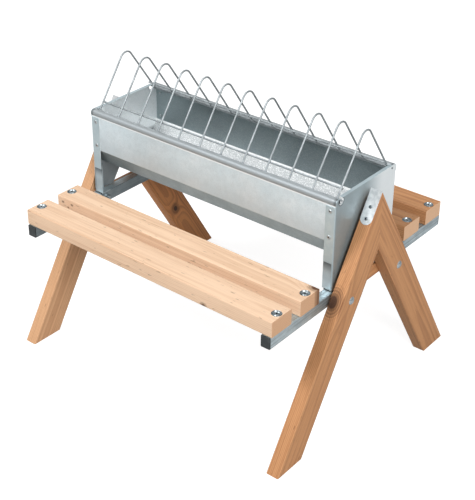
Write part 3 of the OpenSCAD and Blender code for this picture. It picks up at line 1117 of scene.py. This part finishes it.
@dataclass
class Perches:
    """The four perch boards with their cup washers and screws.

    Attributes:
        board_y: Distances of the boards from the middle, outer and inner.
        top: Height of the boards' top faces.
        board_t: Thickness of the boards.
        ease: Rounding of the boards' edges.
        screw_x: Distance of the fasteners from the middle.
        cup_d: Diameter of a cup washer.
        cup_deep: Depth of its seat.
        cup_t: Thickness of its metal.
        head_d: Diameter of a screw's head.
        head_t: Height of a screw's head.
        screw_end: Height of a screw's end.
    """

    board_y: tuple[float, float] = (313.0, 211.0)
    top: float = 401.5
    board_t: float = 40.0
    ease: float = 0.9
    screw_x: float = 365.5
    cup_d: float = 24.0
    cup_deep: float = 5.0
    cup_t: float = 1.2
    head_d: float = 14.8
    head_t: float = 3.36
    screw_end: float = 349.5

    def build(self) -> None:
        """Builds and dresses the sub-assembly."""
        pale, brown = Timber(), LEG_TIMBER
        outer, inner = self.board_y
        end_marks = [
            Knot(-0.362, 0.006, 0.004, False),
            Knot(-0.344, -0.004, 0.003, False),
            Knot(-0.33, 0.007, 0.004, False),
            Knot(0.372, 0.03, 0.014),
        ]
        side_mark = [Knot(0.19, -0.017, 0.008, False)]
        boards = {
            "perch_front_outer": (pale, -outer, (0.006, -0.094), 0.37, side_mark),
            "perch_front_inner": (pale, -inner, (-0.012, -0.118), 1.91, end_marks),
            "perch_back_inner": (brown, inner, (0.016, -0.101), 3.13, [Knot(-0.12, 0.01, 0.006)]),
            "perch_back_outer": (brown, outer, (-0.008, -0.087), 4.77, []),
        }
        for node, (wood, y, pith, shift, knots) in boards.items():
            middle = (0.0, y * MM, (self.top - self.board_t / 2) * MM)
            grain = Grain(middle, X_AXIS, Y_AXIS, Z_AXIS, pith, shift)
            finish = wood.material(node + "_timber", grain, knots)
            ease_node(node, self.ease, finish, Slot.TIMBER, 50)
        self.fasteners()

    def places(self, height: float) -> list[Matrix]:
        """Finds the eight places of the fasteners.

        Args:
            height: Their height, in millimetres.

        Returns:
            The places, in metres.
        """
        return [
            placed((sx * self.screw_x, sy * y, height), Z_AXIS)
            for sx, sy in CORNERS for y in self.board_y
        ]

    def fasteners(self) -> None:
        """Builds the pressed cup washers and the domed screws in them."""
        r, d = self.cup_d / 2, self.cup_deep
        cup = [
            (4.4, -d), (r - 1.4, -d), (r - 0.3, -d + 1.2), (r, -d + 2.4), (r, 0.0), (r - 0.1, 0.28),
            (r - 0.4, 0.4), (r - 0.8, 0.34), (r - 1.2, 0.0), (r - 1.7, -0.9), (r - 2.6, -2.4),
            (r - 3.6, -3.35), (r - 4.6, -3.75), (4.4, -d + self.cup_t), (4.4, -d),
        ]
        fastener(
            "cup_washers", "perch_cup_washers", cup, self.places(self.top), 48,
            BRIGHT.material("cup_zinc"), 50, 0,
        )
        h, t = self.head_d / 2, self.head_t
        ball = (h * h + t * t) / (2 * t)
        dome = [
            (h * k, t - ball + math.sqrt(ball * ball - (h * k) ** 2))
            for k in (0.97, 0.86, 0.7, 0.5, 0.38)
        ]
        floor = self.top - d + self.cup_t
        end = self.screw_end - floor
        screw = [
            (0, end), (3.6, end), (4.0, end + 1), (4.0, 0), (h, 0), (h, 0.25), *dome,
            (2.6, t - 0.25, 6), (2.5, t - 2.0, 6), (0, t - 2.3),
        ]
        fastener(
            "perch_screw_heads", "perch_screws", screw, self.places(floor), 36,
            BRIGHT.material("screw_zinc"), 42,
        )


@dataclass
class AFrames:
    """The two timber A-frames with straps, slats and bolts.

    Attributes:
        leg_mid_x: Distance of the legs' middle from the middle of the trough.
        leg_w: Width of the leg timber.
        ridge_z: Height of the ridge.
        lean: Slope of the legs away from upright, in degrees.
        strap_t: Thickness of the strap.
        screws_down: Distances of the strap screws from the ridge.
        screw_head_d: Diameter of a strap screw's head.
        screw_head_t: Height of its head.
        screw_l: Length of its shank.
        slat_x: Distance of the slats from the middle.
        slat_z: Height of the slats' middle.
        leg_ease: Rounding of the legs' edges.
        slat_ease: Rounding of the slats' and nuts' edges.
        strap_ease: Rounding of the straps' edges.
    """

    leg_mid_x: float = 400.5
    leg_w: float = 76.5
    ridge_z: float = 581.0
    lean: float = math.degrees(math.atan2(360.0, 581.0))
    strap_t: float = 1.5
    screws_down: tuple[float, float] = (39.0, 67.0)
    screw_head_d: float = 8.4
    screw_head_t: float = 2.4
    screw_l: float = 18.0
    slat_x: float = 381.0
    slat_z: float = 346.5
    leg_ease: float = 0.7
    slat_ease: float = 0.5
    strap_ease: float = 0.35

    def build(self) -> None:
        """Builds and dresses the sub-assembly."""
        # Painted light: the left front leg takes a paler copy of the leg timber and the left back
        # leg a warmer one, for the light that falls on them
        woods_with_painted_light = {
            (-1, -1): replace(LEG_TIMBER, early=(0.67, 0.388, 0.212), late=(0.38, 0.17, 0.072)),
            (-1, 1): replace(LEG_TIMBER, early=(0.67, 0.29, 0.11)),
        }
        knots = {
            (1, -1): [Knot(-0.268, -0.008, 0.026, False)],
            (-1, 1): [Knot(-0.452, 0.009, 0.015)],
        }
        for signs in CORNERS:
            node = at_corner("leg", *signs)
            wood = woods_with_painted_light.get(signs, LEG_TIMBER)
            finish = wood.material(node + "_timber", self.grain(*signs), knots.get(signs, ()))
            ease_node(node, self.leg_ease, finish, Slot.TIMBER, 42)
        strap = Metal(
            (0.9, 0.92, 0.93), (0.66, 0.694, 0.708), 0.26, 0.06, 90, 0.12, 260,
            metal=0.55, relief=0.00001,
        )
        for sx, end in ENDS.items():
            middle = (sx * self.slat_x * MM, 0, self.slat_z * MM)
            grain = Grain(middle, Y_AXIS, Z_AXIS, X_AXIS, (0.01, -0.07), 2.2 + sx)
            finish = LEG_TIMBER.material("slat_%s_timber" % end, grain)
            ease_node("slat_" + end, self.slat_ease, finish, Slot.TIMBER)
            zinc = strap.material("strap_zinc_" + end)
            ease_node("strap_" + end, self.strap_ease, zinc, Slot.FASTENER)
        bolt = Metal(
            (0.6, 0.655, 0.68), (0.43, 0.48, 0.5), 0.16, 0.05, 60, metal=0.9, relief=0.00003
        )
        bolt_zinc = bolt.material("bolt_zinc")
        dress("frame_bolts", bolt_zinc)
        dress("frame_washers", bolt_zinc)
        ease_node("frame_nuts", self.slat_ease, BRIGHT.material("nut_zinc"), Slot.FASTENER)
        self.screws()

    def ways(self, sy: int) -> tuple[Vector, Vector]:
        """The directions up a leg at one side, and from its outer narrow face into the wood."""
        sin_l, cos_l = math.sin(math.radians(self.lean)), math.cos(math.radians(self.lean))
        return Vector((0, -sy * sin_l, cos_l)), Vector((0, -sy * cos_l, -sin_l))

    def grain(self, sx: int, sy: int) -> Grain:
        """How a leg was sawn.

        Args:
            sx: The end that it stands at.
            sy: The side that it stands at.

        Returns:
            Its grain, measured down from the ridge.
        """
        up, into = self.ways(sy)
        middle = (Vector((sx * self.leg_mid_x, 0, self.ridge_z)) + into * (self.leg_w / 2)) * MM
        pith = (0.012 * sy, -0.075 - 0.02 * sx)
        shift = 1.3 + 2.1 * sx + 0.9 * sy
        return Grain(tuple(middle), tuple(up), tuple(into), (sx, 0, 0), pith, shift)

    def screws(self) -> None:
        """Builds the strap screws, each with a recess in its head."""
        r, t, end = self.screw_head_d / 2, self.screw_head_t, -self.screw_l
        rings = [
            (0, end), (1.2, end + 0.8), (2, end + 3), (2, 0), (r, 0), (r, 0.3), (r - 0.35, 1.1),
            (r - 1.1, 1.8), (r - 1.9, 2.15), (1.9, t, 6), (1.75, t - 1.6, 6), (0, t - 1.9),
        ]
        places = []
        for sx, sy in CORNERS:
            up, into = self.ways(sy)
            seat = Vector((sx * self.leg_mid_x, 0, self.ridge_z)) - into * self.strap_t
            places += [placed(seat - up * down, -into) for down in self.screws_down]
        zinc = BRIGHT.material("strap_screw_zinc")
        fastener("strap_screw_heads", "strap_screws", rings, places, 30, zinc, 42)


@dataclass
class Studio:
    """The pale floor, the soft light and the camera.

    Attributes:
        lens: Focal length, in millimetres.
        shift: How far the picture is shifted up, as a share of its width.
        azimuth: Camera's angle to the right of the front, in degrees.
        elevation: Camera's angle above the horizon, in degrees.
        roll: Camera's roll, in degrees.
        offset: How far the view is moved right and up, in millimetres.
        distance: Distance of the camera, in millimetres.
        target: The point that it was aimed at, in millimetres.
        ambient: Strength of the light from all round.
        floor_half: Half width of the floor, in metres.
        floor_z: Height of the floor, in metres, just below the feet.
    """

    lens: float = 82.0
    shift: float = -0.1
    azimuth: float = 38.79
    elevation: float = 28.6
    roll: float = 0.58
    offset: tuple[float, float] = (-4.0, -76.0)
    distance: float = 2867.0
    target: Point = (0.0, 0.0, 330.0)
    ambient: float = 0.33
    floor_half: float = 14.0
    floor_z: float = -0.0005

    def build(self) -> None:
        """Sets up the studio."""
        self.world()
        self.floor()
        self.lamp("key_light", (-1.3, -2.95, 4.25), 1.6, 158.0)
        self.lamp("fill_light", (5.1, -2.55, 3.7), 3.3, 292.0)
        self.camera()
        bpy.context.scene.view_settings.view_transform = "Standard"

    def rays(self, g: Graph, *kinds: str) -> Value:
        """Where a ray is of one of some kinds.

        Args:
            g: The graph.
            kinds: The Light Path node's outputs.

        Returns:
            The mask.
        """
        path = g.node("ShaderNodeLightPath").outputs
        mask = Value(g, path[kinds[0]])
        for kind in kinds[1:]:
            mask = mask.maths("MAXIMUM", Value(g, path[kind]))
        return mask

    def seen(self, g: Graph) -> Value:
        """Where a ray comes from the camera, or by way of metal or glass."""
        return self.rays(g, "Is Camera Ray", "Is Glossy Ray", "Is Transmission Ray")

    def world(self) -> None:
        """Makes the white surroundings."""
        world = bpy.data.worlds.new("surroundings")
        world.use_nodes = True
        bpy.context.scene.world = world
        g = Graph(world.node_tree)
        glossy = self.rays(g, "Is Glossy Ray")
        place = g.node("ShaderNodeTexCoord").outputs["Generated"]
        height = g.along(place, Z_AXIS)
        side = g.along(place, (0.75, 0.35, 0))
        sheen = height.step(0.0, 0.85) * 0.5 + 0.5 - side.step(0.0, 0.9) * 0.16
        level = self.seen(g) * (glossy * (sheen - 1.0) + 1.0 - self.ambient) + self.ambient
        white = {"Color": (1.0, 1.0, 1.0), "Strength": level}
        back = g.node("ShaderNodeBackground", None, white)
        g.node("ShaderNodeOutputWorld", None, {"Surface": back.outputs[0]})

    def floor(self) -> None:
        """Makes the floor, which stays white and keeps a soft shadow."""
        material, g = new_graph("studio_paper")
        paper = g.blend(g.noise(g.place(), 0.8, 2.0), (0.4, 0.4, 0.4), (0.42, 0.42, 0.42))
        plain = g.node("ShaderNodeBsdfDiffuse", None, {"Color": paper})
        strength = self.seen(g) * 0.2 + self.rays(g, "Is Camera Ray") * 0.64
        white = {"Color": (1.0, 1.0, 1.0), "Strength": strength}
        glow = g.node("ShaderNodeEmission", None, white)
        both = g.node("ShaderNodeAddShader", None, {0: plain.outputs[0], 1: glow.outputs[0]})
        g.node("ShaderNodeOutputMaterial", None, {"Surface": both.outputs[0]})
        h, z = self.floor_half, self.floor_z
        verts = [Vector((x, y, z)) for x, y in ((-h, -h), (h, -h), (h, h), (-h, h))]
        new_piece("studio_floor", verts, [[0, 1, 2, 3]], material)

    def lamp(self, name: str, at: Sequence[float], size: float, power: float) -> None:
        """Adds a soft lamp that looks at the trough.

        Args:
            name: Its name.
            at: Its place, in metres.
            size: Its width, in metres.
            power: Its power, in watts.
        """
        light = bpy.data.lights.new(name, "AREA")
        light.shape = "DISK"
        light.size = size
        light.energy = power
        made = new_object(name, light)
        made.location = at
        made.rotation_mode = "QUATERNION"
        made.rotation_quaternion = (Vector(at) - Vector((0, 0, 0.4))).to_track_quat("Z", "Y")
        log.info("lamp %s of %.0f W", name, power)

    def camera(self) -> None:
        """Adds the camera at the picture's angle."""
        a, e, r = (math.radians(v) for v in (self.azimuth, self.elevation, self.roll))
        back = Vector((math.sin(a) * math.cos(e), -math.cos(a) * math.cos(e), math.sin(e)))
        level = Vector((math.cos(a), math.sin(a), 0))
        above = back.cross(level)
        right = level * math.cos(r) + above * math.sin(r)
        up = above * math.cos(r) - level * math.sin(r)
        at = Vector(self.target) - right * self.offset[0] - up * self.offset[1]
        at += back * self.distance
        data = bpy.data.cameras.new("picture_camera")
        data.lens = self.lens
        data.sensor_width = 36.0
        data.shift_y = self.shift
        data.clip_end = 60.0
        made = new_object("picture_camera", data)
        turn = Matrix((right, up, back)).transposed().to_4x4()
        made.matrix_world = Matrix.Translation(at * MM) @ turn
        bpy.context.scene.camera = made


def main() -> None:
    """Builds and dresses the object, then the studio round it."""
    logging.basicConfig(level=logging.INFO, format="%(name)s: %(message)s")
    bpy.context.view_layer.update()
    for assembly in (Trough(), Grille(), Crossbars(), Perches(), AFrames()):
        assembly.build()
        log.info("%s done", type(assembly).__name__)
    Studio().build()


if __name__ == "__main__":
    main()
